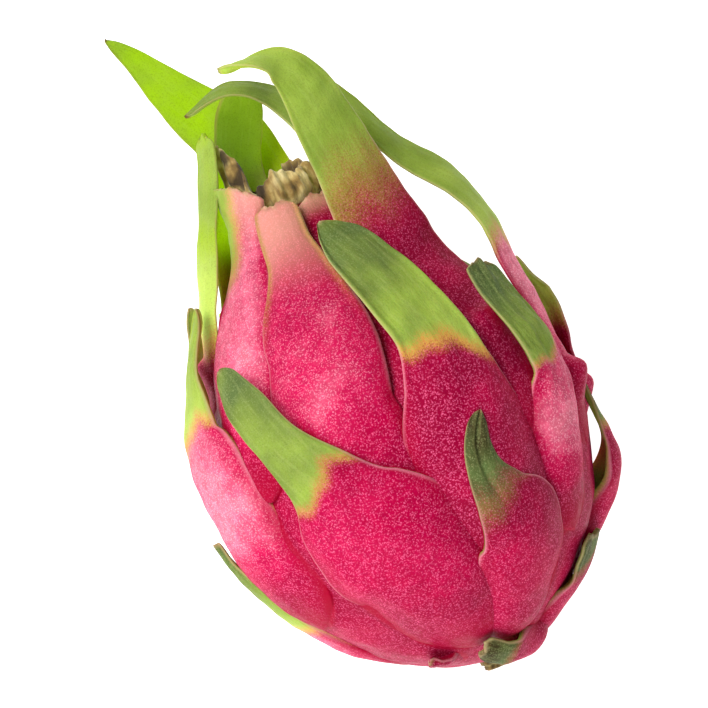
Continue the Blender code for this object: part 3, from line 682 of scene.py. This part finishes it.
def scale_rail(spec, cell):
    """Shares of a scale's length from foot to tip, its middle line at each, its columns and its length.

    A row of the middle line holds the centre, the normal, the half width, the angle, the run and the lift.
    """
    skin = np.array(spec["skin"], float)
    air = np.array([(*row, 0)[:6] for row in spec["air"]], float).reshape(-1, 6)
    centres = np.vstack([skin_point(skin[:, 0], skin[:, 1], skin[:, 2]), air[:, :3]])
    faces, leans = np.radians(air[:, 4]), np.radians(air[:, 5])
    looking = np.stack([np.sin(faces) * np.cos(leans), np.sin(leans), np.cos(faces) * np.cos(leans)], -1)
    normals = np.vstack([skin_normal(skin[:, 0], skin[:, 1]), looking])
    steps = np.linalg.norm(np.diff(centres, axis=0), axis=1)
    beyond = np.cumsum(steps)[len(skin) - 1 :] - np.sum(steps[: len(skin) - 1])
    half_widths = np.append(skin[:, 3], air[:, 3])
    angles = np.append(skin[:, 0], np.full(len(air), skin[-1, 0]))
    runs = np.append(skin[:, 1], skin[-1, 1] + beyond)
    lifts = np.append(skin[:, 2], np.full(len(air), AIR_LIFT))
    line = catmull_rom(np.column_stack([centres, normals, half_widths, angles, runs, lifts]), 16)
    walked = np.append(0, np.cumsum(np.linalg.norm(np.diff(line[:, :3], axis=0), axis=1)))
    length = walked[-1]
    columns = int(np.clip(2 * half_widths.max() / cell, *COLUMNS_BETWEEN))
    share = np.linspace(0, 1, int(np.clip(length / cell, *ROWS_BETWEEN)) + 1)
    # Rows stand closer towards the tip, where the margin turns fastest.
    share = mix(share, 1 - (1 - share) ** 1.6, 0.5)
    at = np.column_stack([np.interp(share * length, walked, values) for values in line.T])
    return share, at, columns, length


def scale_relief(spec, s, w, half, length, seed):
    """How far a scale's face stands out of its plain form: a lip, puckers, a fold and slow waves."""
    loose = smoothstep(0.3, 0.8, s)
    side_seed = np.where(w > 0, 1.9, 0.0)
    rise = np.sin(s * 13 + seed + side_seed) + 0.7 * np.sin(s * 27 + 3 * seed + side_seed)
    lip = np.exp(-(((np.abs(w) - 0.92) / 0.07) ** 2)) * spec["lip"] * loose
    flat = np.zeros_like(w) + 0 * s
    field = np.stack([w * half + flat, s * length * 0.45 + flat, flat], -1)
    puckers = spec["wrinkle"] * (ripple(field, 5.5, seed) + 0.5 * ripple(field, 2.6, seed + 1))
    puckers = puckers * smoothstep(0.35, 0.65, s) * (1 - w**4)
    fold = -spec["fold"] * np.exp(-(((w + 0.15) / 0.16) ** 2)) * smoothstep(0.6, 0.8, s)
    return lip + puckers + fold + spec["wave"] * rise * loose * w * w


def scale_looks(spec, s, w, half, length, seed):
    """What the peel looks like at each point of a scale, as a pair: its outer and its inner side."""
    flat = np.zeros_like(w) + 0 * s
    size = np.abs(w)
    uneven = 0.018 * np.sin(w * 3 + seed) + 0.006 * np.sin(w * 9 + 2 * seed)
    greens = smoothstep(spec["green"][0], spec["green"][1], s + uneven + spec["slant"] * w)
    greens = greens + spec["edge_green"] * smoothstep(0.6, 1.0, size) * smoothstep(0.5, 0.9, s)
    greens = greens + spec["left_green"] * smoothstep(-0.35, 0.7, -w) * smoothstep(0.6, 0.85, s)
    greens = np.clip(greens, 0, 1)
    tones = mix(spec["tone"][0], spec["tone"][1], smoothstep(spec["green"][0], 1.0, s)) + flat
    # Wax bloom with painted sheen: palest across the middle of a scale, less at its margins and none at its
    # foot.
    blooms_and_sheen = spec["bloom"] * (1 - 0.4 * size**3) * smoothstep(0.05, 0.4, s)
    # Painted shade: deep red at the foot of a scale and along its margins where it lies on the skin.
    foot_and_margin_shade = 0.7 * (1 - smoothstep(0.02, 0.2, s))
    foot_and_margin_shade = foot_and_margin_shade + 0.75 * (1 - smoothstep(0.25, 0.7, s)) * smoothstep(0.7, 1.0, size)
    pales = spec["pale"][2] * smoothstep(spec["pale"][0], spec["pale"][1], s) + flat
    dries = spec["dry"] * smoothstep(1 - 1.2 / length, 1.0, s) + flat
    edges = 0.75 * smoothstep(0.94, 1.0, size) * smoothstep(0.3, 0.6, s)
    edges = np.maximum(edges, spec["left_edge"] * smoothstep(0.82, 0.9, -w))
    thins = spec["thin"] * smoothstep(0.45, 0.7, s) + flat
    inner_greens = np.clip(greens + (1 - spec["inner_red"]) * smoothstep(0.2, 0.4, s), 0, 1)
    inner_deeps = spec["inner_red"] * 0.3 * np.clip(1.3 * (1 - s), 0, 1) + flat
    return {
        "green": (greens, inner_greens),
        "tone": (tones, tones * 0.5),
        "bloom": (blooms_and_sheen, flat),
        "deep": (np.clip(foot_and_margin_shade, 0, 1), inner_deeps),
        "pale": (pales, flat),
        "dry": (dries, dries),
        "edge": (edges, flat),
        "thin": (thins, thins),
        "warm": (spec["warm"] + flat, flat),
        "wrinkle": (0.1 + spec["wrinkle"] * smoothstep(0.3, 0.7, s) + flat, flat),
        "across": (w * half, w * half),
        "along": (s * length + flat, s * length + flat),
        "crevice": (flat, flat),
    }


def scale_sheet(spec, cell):
    """Outer and inner points of one scale, which grows out of the skin as a free blade, and its looks."""
    share, at, columns, length = scale_rail(spec, cell)
    centre, normal = at[:, :3], at[:, 3:6]
    half, angle, run, lift = (at[:, i : i + 1] for i in range(6, 10))
    s = share[:, None]
    turn = np.linspace(-1, 1, columns + 1)
    # Columns stand a little closer at the margins.
    w = (np.sin(turn * math.pi / 2) * 0.35 + turn * 0.65)[None, :]
    foot_angle, foot_run = spec["skin"][0][:2]
    seed = float(abs(foot_angle) % 7 + foot_run % 5)
    blunt = spec["end"] == "cut"
    tip_length = (1.6 if blunt else 3.2) / length
    root_round = np.sqrt(np.clip(1 - np.clip(1 - s / 0.16, 0, 1) ** 2, 0.01, 1))
    tip_round = np.sqrt(np.clip(1 - np.clip(1 - (1 - s) / tip_length, 0, 1) ** 2, 0.3 if blunt else 0.02, 1))
    half = np.maximum(half, 0.35) * root_round * tip_round
    tangent = unit(np.gradient(centre, axis=0))
    normal = unit(normal - tangent * (normal * tangent).sum(1, keepdims=True))
    side = np.cross(tangent, normal)
    attached = 1 - smoothstep(0.25, 0.7, s)
    free = smoothstep(*FREE_LIFT, lift)
    # The margin wanders in and out along the free part, and a sawn one has teeth on its left.
    wander = np.sin(s * 17 + seed) + 0.6 * np.sin(s * 31 + 2.3 * seed) + 0.4 * np.sin(s * 57 + seed)
    reach = 1 + spec["wave"] * 0.05 * wander * smoothstep(0.3, 0.8, s) * np.abs(w)
    teeth = spec["serrate"] * smoothstep(0.55, 0.75, s) * (1 - smoothstep(0.93, 1.0, s))
    saw = teeth * ((s * 26) % 1.0) * np.clip(-w, 0, 1) ** 3
    relief = scale_relief(spec, s, w, half, length, seed)
    # A dried end is torn, so it reaches a little further in some places than in others.
    torn = 0.4 * np.sin(w * 4 + seed) + 0.16 * np.sin(w * 13 + 2 * seed)
    torn = torn * smoothstep(0.9, 1.0, s) * (1.0 if blunt else 0.0)

    # The foot lies on the skin and swells out of it.
    swell = mix(1 - 0.3 * w**4, np.clip(1 - w * w, 0, 1) ** 1.3, attached)
    local = lift * swell + relief - 0.7 * attached * np.abs(w) ** 6
    thick = mix(2.4, 1.5, s) * (1 - 0.7 * w**4) * (0.3 + 0.7 * tip_round)
    under = local - thick - 2.0 * (1 - smoothstep(0.35, 0.7, s))
    radius = np.interp(np.clip(run, 0, RUN_END), OUTLINE_RUN, OUTLINE[:, 1]) + lift
    across_turn = np.radians(np.gradient(angle, axis=0)) * radius
    along_turn = np.gradient(run, axis=0)
    norm = np.maximum(np.hypot(across_turn, along_turn), 1e-9)
    aside_skin = w * reach * half - saw
    angle_at = angle + np.degrees(aside_skin * (along_turn / norm / radius))
    run_at = run - aside_skin * (across_turn / norm)
    outer_skin = skin_point(angle_at, run_at + torn, local)
    inner_skin = skin_point(angle_at, run_at + torn, under)

    # The blade stands free and is cupped across its width.
    bend = math.radians(spec["cup"])
    aside = half * np.sin(bend * w) * reach / bend - saw
    down = half * (1 - np.cos(bend * w)) / bend
    outward = normal[:, None] * np.cos(bend * w)[..., None] + side[:, None] * np.sin(bend * w)[..., None]
    blade = centre[:, None] + side[:, None] * aside[..., None] - normal[:, None] * down[..., None]
    blade = blade + outward * relief[..., None] + tangent[:, None] * torn[..., None]
    inner_blade = blade - outward * thick[..., None]

    outer = mix(outer_skin, blade, free[..., None])
    inner = mix(inner_skin, inner_blade, free[..., None])
    uneven = outward * (ripple(outer, 17, 1) * 0.35 + ripple(outer, 7, 2) * 0.12)[..., None]
    return outer + uneven, inner + uneven, scale_looks(spec, s, w, half, length, seed)


def scale_object(name, spec, material, cell):
    """One scale as a closed sheet, in the place of its plain solid."""
    spec = {**SCALE_DEFAULTS, **spec}
    outer, inner, looks = scale_sheet(spec, cell)
    rows, columns = outer.shape[:2]
    count = rows * columns
    sides = pressed(world(outer), 0.15 * MM), pressed(world(inner), 0.1 * MM)
    points = np.concatenate([side.reshape(-1, 3) for side in sides])
    index = np.arange(count).reshape(rows, columns)
    rim = np.concatenate([index[0, :-1], index[:-1, -1], index[-1, :0:-1], index[:0:-1, 0]])
    following = np.roll(rim, -1)
    walls = np.stack([following, rim, rim + count, following + count], -1)
    faces = np.concatenate([grid_faces(rows, columns), grid_faces(rows, columns, count, True), walls])
    values = {key: np.concatenate([np.ravel(pair[0]), np.ravel(pair[1])]) for key, pair in looks.items()}
    made = add_mesh(name + "_leaf", points, faces, material, values)
    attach(made, "root")
    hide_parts(name)
    return made


class DragonFruitPeel(bpy.types.PropertyGroup):
    """Sizes of the peel's own detail."""

    freckle_spacing: FloatProperty(
        name="Freckle spacing",
        description="Distance between pale freckles, in millimetres",
        default=0.42,
        min=0.2,
    )
    crevice_reach: FloatProperty(
        name="Crevice reach",
        description="How far a crevice looks for its other side, in millimetres",
        default=6.0,
        min=1,
    )
    cell: FloatProperty(
        name="Mesh cell",
        description="Size of a mesh cell on the scales, in millimetres",
        default=0.75,
        min=0.3,
    )


class DragonFruitStage(bpy.types.PropertyGroup):
    """Camera, lights and table."""

    azimuth: FloatProperty(name="Azimuth", description="Way the camera looks, from +Y", default=-26.0)
    elevation: FloatProperty(name="Elevation", description="Height angle of the camera", default=86.0)
    distance: FloatProperty(name="Distance", description="Camera distance", default=0.65, unit="LENGTH")
    key_power: FloatProperty(name="Key light", description="Power of the main soft light", default=7.4)
    fill_power: FloatProperty(name="Fill light", description="Power of the fill light", default=3.4)
    room_light: FloatProperty(name="Room light", description="Strength of the white room", default=0.42)
    table_glow: FloatProperty(name="Table glow", description="How much the table shines back", default=0.75)
    table_colour: FloatVectorProperty(
        name="Table colour", description="Colour of the table", default=(0.9, 0.9, 0.9), subtype="COLOR"
    )


class DRAGONFRUIT_OT_body(bpy.types.Operator):
    """Adds the fleshy body."""

    bl_idname = "dragonfruit.body"
    bl_label = "Body"

    def execute(self, context):
        settings = context.scene.dragon_fruit_peel
        angles = np.arange(BODY_SIDES) * 360 / BODY_SIDES
        angle, run = np.meshgrid(angles, np.linspace(0, RUN_END, BODY_RINGS))
        points = skin_point(angle, run, np.zeros_like(run))
        uneven = sum(ripple(points, size, seed) * height for size, height, seed in BODY_UNEVEN)
        fade = smoothstep(0, 12, run) * (1 - smoothstep(RUN_END - 8, RUN_END, run))
        points = points + skin_normal(angle, run) * (uneven * fade - BODY_SINK)[..., None]
        points[0] = points[0].mean(axis=0)
        # The flower end closes as a shallow cone under the withered flower.
        middle = world(np.array([[0, OUTLINE[-1, 0] - 2, 0]]))
        last, tip = (BODY_RINGS - 1) * BODY_SIDES, BODY_RINGS * BODY_SIDES
        fan = [[last + i, tip, last + (i + 1) % BODY_SIDES] for i in range(BODY_SIDES)]
        faces = turned_faces(BODY_RINGS, BODY_SIDES, capped=False) + fan
        points = np.concatenate([pressed(world(points)).reshape(-1, 3), middle])
        zero = np.zeros(len(points))
        # The body shows only between the scales, so its low bloom and little deep red are painted shade.
        looks = {**dict.fromkeys(LOOKS, zero), "bloom": zero + 0.12, "deep": zero + 0.15}
        body = add_mesh("fruit_peel", points, faces, waxy_peel(settings), looks)
        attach(body, "root")
        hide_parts("fruit_body")
        return {"FINISHED"}


class ScaleGroup:
    """Adds the scales of one table, all with the same peel material."""

    slot = "pink_scale"

    def execute(self, context):
        settings = context.scene.dragon_fruit_peel
        material = waxy_peel(settings)
        for name, spec in self.table.items():
            scale_object(name, {"slot": self.slot, **spec}, material, settings.cell)
        return {"FINISHED"}


class DRAGONFRUIT_OT_front_scales(ScaleGroup, bpy.types.Operator):
    """Adds the broad scales on the side that faces up."""

    bl_idname = "dragonfruit.front_scales"
    bl_label = "Front scales"
    table = FRONT_SCALES


class DRAGONFRUIT_OT_side_scales(ScaleGroup, bpy.types.Operator):
    """Adds the scales at the sides and round the stem end."""

    bl_idname = "dragonfruit.side_scales"
    bl_label = "Side scales"
    table = SIDE_SCALES


class DRAGONFRUIT_OT_under_scales(ScaleGroup, bpy.types.Operator):
    """Adds the scales on the underside."""

    bl_idname = "dragonfruit.under_scales"
    bl_label = "Under scales"
    table = UNDER_SCALES


class DRAGONFRUIT_OT_crown_scales(ScaleGroup, bpy.types.Operator):
    """Adds the long scales at the crown."""

    bl_idname = "dragonfruit.crown_scales"
    bl_label = "Crown scales"
    table = CROWN_SCALES
    slot = "green_scale"


class DRAGONFRUIT_OT_crevices(bpy.types.Operator):
    """Paints shade on the peel: the more closed in a point lies between the scales, the darker red it is
    drawn.
    """

    bl_idname = "dragonfruit.crevices"
    bl_label = "Crevices"

    def execute(self, context):
        reach = context.scene.dragon_fruit_peel.crevice_reach * MM
        meshes = [obj for obj in context.scene.objects if obj.type == "MESH"]
        peel = [obj for obj in meshes if "crevice" in obj.data.attributes]
        if not peel:
            raise RuntimeError("the body and the scales come first")
        points, faces = [], []
        for obj in peel:
            start = len(points)
            points.extend(vert.co for vert in obj.data.vertices)
            faces.extend([start + index for index in face.vertices] for face in obj.data.polygons)
        tree = BVHTree.FromPolygons(points, faces)
        # Rays leave each point in rings: (how far aside, how far up).
        rings = ((0.0, 1.0), (0.55, 0.84), (0.86, 0.5))
        for obj in peel:
            occlusion_shade = np.zeros(len(obj.data.vertices), np.float32)
            for vert in obj.data.vertices:
                up = vert.normal
                aside = up.orthogonal().normalized()
                third = up.cross(aside)
                start = vert.co + up * 0.35 * MM
                near, total = 0.0, 0.0
                for spread, height in rings:
                    for turn in range(6 if spread else 1):
                        angle = turn * math.tau / 6 + vert.index * 2.4
                        way = up * height + (aside * math.cos(angle) + third * math.sin(angle)) * spread
                        distance = tree.ray_cast(start, way, reach)[3]
                        total += height
                        if distance is not None:
                            near += height * (1 - distance / reach)
                occlusion_shade[vert.index] = near / total
            # The full painted shade comes before a point is quite closed in.
            obj.data.attributes["crevice"].data.foreach_set("value", np.clip(occlusion_shade * 1.6, 0, 1))
        return {"FINISHED"}


class DRAGONFRUIT_OT_flower(bpy.types.Operator):
    """Adds the withered flower."""

    bl_idname = "dragonfruit.flower"
    bl_label = "Withered flower"

    def execute(self, context):
        profile = catmull_rom(
            (
                (0.0, 0.2),
                (0.0, FLOWER_RADIUS - 2.5),
                (1.5, FLOWER_RADIUS - 0.6),
                (FLOWER_HEIGHT * 0.5, FLOWER_RADIUS),
                (FLOWER_HEIGHT * 0.9, FLOWER_RADIUS - 0.4),
                (FLOWER_HEIGHT, FLOWER_RADIUS - 1.1),
                (FLOWER_HEIGHT * 0.9, FLOWER_RADIUS - 1.8),
                (FLOWER_HEIGHT * 0.4, FLOWER_RADIUS - 3.0),
                (2.5, 0.2),
            ),
            8,
        )
        angle = np.radians(np.arange(FLOWER_SIDES) * 360 / FLOWER_SIDES)[None, :]
        height, radius = profile[:, :1], profile[:, 1:]
        up = np.clip(height / FLOWER_HEIGHT, 0, 1)
        # The rim is torn, and one folded finger of petal stands far out of it.
        ragged = 0.16 * np.sin(3 * angle + 0.7) + 0.12 * np.sin(5 * angle + 2.1) + 0.07 * np.sin(8 * angle)
        ragged = ragged + 0.05 * np.sin(17 * angle + 1.0) + 0.04 * np.sin(29 * angle)
        turned = (np.degrees(angle) - FINGER_ANGLE + 180) % 360 - 180
        finger = np.exp(-((turned / FINGER_WIDTH) ** 4))
        stretch = 1 + up * (ragged + FINGER_STRETCH * finger)
        pleats = 0.05 * np.sin(23 * angle + 2 * np.sin(3 * angle)) + 0.04 * np.sin(11 * angle + 1.0)
        spread = 1 + up * (0.06 * np.sin(4 * angle + 1.0) - 0.16 * finger) + pleats * smoothstep(0.1, 0.5, up)
        along = FLOWER_BASE + height * stretch
        wide = radius * spread
        points = np.stack([wide * np.sin(angle), along + 0 * angle, wide * np.cos(angle)], -1)
        points = points + unit(points * [1, 0, 1]) * (0.35 * ripple(points, 3.1, 5) * up)[..., None]
        # Painted shade darkens the inner wall, and some patches outside are burnt brown.
        rings = len(profile)
        inner_wall_shade = smoothstep(rings * 0.62, rings * 0.8, np.arange(rings))[:, None]
        hollow = smoothstep(0.5, 0.9, ripple(points, 5.0, 8)) * smoothstep(0.3, 0.6, up)
        looks = {"deep": np.clip(inner_wall_shade * 0.8 + hollow * 0.9, 0, 1) + 0 * angle}
        faces = turned_faces(rings, FLOWER_SIDES)
        flower = add_mesh("dried_flower", world(points), faces, dried_petals(), looks)
        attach(flower, "root")
        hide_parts("withered_flower")
        return {"FINISHED"}


class DRAGONFRUIT_OT_stem(bpy.types.Operator):
    """Adds the woody stem stub."""

    bl_idname = "dragonfruit.stem"
    bl_label = "Stem stub"

    def execute(self, context):
        profile = catmull_rom(
            (
                (STUB_END, 0.1),
                (STUB_END, STUB_CHAMFER_RADIUS * 0.6),
                (STUB_END, STUB_CHAMFER_RADIUS),
                (STUB_RIM, STUB_RADIUS),
                (-0.83, STUB_RADIUS - 0.5),
                (-0.35, STUB_RADIUS + 0.4),
                (0.8, STUB_RADIUS + 0.2),
            ),
            6,
        )
        angle = np.radians(np.arange(STEM_SIDES) * 360 / STEM_SIDES)[None, :]
        radius = profile[:, 1:] * (1 + 0.04 * np.sin(5 * angle) + 0.025 * np.sin(13 * angle + 1))
        along = profile[:, :1] + 0 * angle
        points = np.stack([radius * np.sin(angle), along, radius * np.cos(angle)], -1)
        faces = turned_faces(len(profile), STEM_SIDES)
        stem = add_mesh("cut_stem_stub", world(points), faces, cut_stem())
        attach(stem, "root")
        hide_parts("stem_stub")
        return {"FINISHED"}


def soft_light(name, place, target, size, power):
    """A round area light that looks at the target."""
    data = bpy.data.lights.new(name, "AREA")
    data.shape = "DISK"
    data.size = size
    data.energy = power
    made = bpy.data.objects.new(name, data)
    made.location = place
    made.rotation_euler = (Vector(target) - Vector(place)).to_track_quat("-Z", "Y").to_euler()
    bpy.context.scene.collection.objects.link(made)
    return made


class DRAGONFRUIT_OT_stage(bpy.types.Operator):
    """Adds the pale table, the soft lights and the camera."""

    bl_idname = "dragonfruit.stage"
    bl_label = "Stage"

    def execute(self, context):
        settings = context.scene.dragon_fruit_stage
        scene = context.scene
        # Matt painted board: no gloss, and bright enough by itself that shadows on it stay faint.
        material = bpy.data.materials.new("matt_white_table")
        material.use_nodes = True
        shader = material.node_tree.nodes["Principled BSDF"]
        shader.inputs["Base Color"].default_value = (*settings.table_colour, 1.0)
        shader.inputs["Roughness"].default_value = 0.9
        shader.inputs["Emission Color"].default_value = (1, 1, 1, 1)
        shader.inputs["Emission Strength"].default_value = settings.table_glow
        corners = np.array([[-1, -1, 0], [1, -1, 0], [1, 1, 0], [-1, 1, 0]]) * TABLE_REACH
        floor = add_mesh("table", corners, [[0, 1, 2, 3]], material)
        azimuth = math.radians(settings.azimuth)
        elevation = math.radians(settings.elevation)
        level = math.cos(elevation)
        forward = Vector((-math.sin(azimuth) * level, math.cos(azimuth) * level, -math.sin(elevation)))
        right = Vector((math.cos(azimuth), math.sin(azimuth), 0))
        up = right.cross(forward)
        centre = Vector(world(np.array([0.0, VIEW_STATION, 0.0])))
        place = centre + (right * VIEW_RIGHT + up * VIEW_UP) * MM - forward * settings.distance
        data = bpy.data.cameras.new("camera")
        data.angle = math.radians(VIEW_FIELD)
        data.clip_start = 0.01
        camera = bpy.data.objects.new("camera", data)
        camera.matrix_world = Matrix.Translation(place) @ Matrix((right, up, -forward)).transposed().to_4x4()
        scene.collection.objects.link(camera)
        scene.camera = camera
        for name, (aside, ahead, above), size, power in (
            ("key_light", KEY_PLACE, KEY_SIZE, settings.key_power),
            ("fill_light", FILL_PLACE, FILL_SIZE, settings.fill_power),
        ):
            soft_light(name, centre + right * aside + up * ahead + Vector((0, 0, above)), centre, size, power)
        surround = bpy.data.worlds.new("white_room")
        surround.use_nodes = True
        background = surround.node_tree.nodes["Background"]
        background.inputs["Color"].default_value = (1, 1, 1, 1)
        background.inputs["Strength"].default_value = settings.room_light
        scene.world = surround
        scene.view_settings.view_transform = "Standard"
        return {"FINISHED"}


class DRAGONFRUIT_PT_panel(bpy.types.Panel):
    """Lists the steps and the settings."""

    bl_idname = "DRAGONFRUIT_PT_panel"
    bl_label = "Dragon fruit"
    bl_space_type = "VIEW_3D"
    bl_region_type = "UI"
    bl_category = "Dragon fruit"

    def draw(self, context):
        layout = self.layout
        for settings in (context.scene.dragon_fruit_peel, context.scene.dragon_fruit_stage):
            for key in settings.bl_rna.properties.keys():
                if key not in {"rna_type", "name"}:
                    layout.prop(settings, key)
        for operator in OPERATORS:
            layout.operator(operator.bl_idname)


GROUPS = (DragonFruitPeel, DragonFruitStage)
OPERATORS = (
    DRAGONFRUIT_OT_stage,
    DRAGONFRUIT_OT_body,
    DRAGONFRUIT_OT_front_scales,
    DRAGONFRUIT_OT_side_scales,
    DRAGONFRUIT_OT_under_scales,
    DRAGONFRUIT_OT_crown_scales,
    DRAGONFRUIT_OT_crevices,
    DRAGONFRUIT_OT_flower,
    DRAGONFRUIT_OT_stem,
)
CLASSES = (*GROUPS, *OPERATORS, DRAGONFRUIT_PT_panel)


def register():
    for each in CLASSES:
        bpy.utils.register_class(each)
    bpy.types.Scene.dragon_fruit_peel = PointerProperty(type=DragonFruitPeel)
    bpy.types.Scene.dragon_fruit_stage = PointerProperty(type=DragonFruitStage)


def unregister():
    del bpy.types.Scene.dragon_fruit_stage
    del bpy.types.Scene.dragon_fruit_peel
    for each in reversed(CLASSES):
        bpy.utils.unregister_class(each)


def main():
    register()
    for operator in OPERATORS:
        group, name = operator.bl_idname.split(".")
        getattr(getattr(bpy.ops, group), name)()


if __name__ == "__main__":
    main()
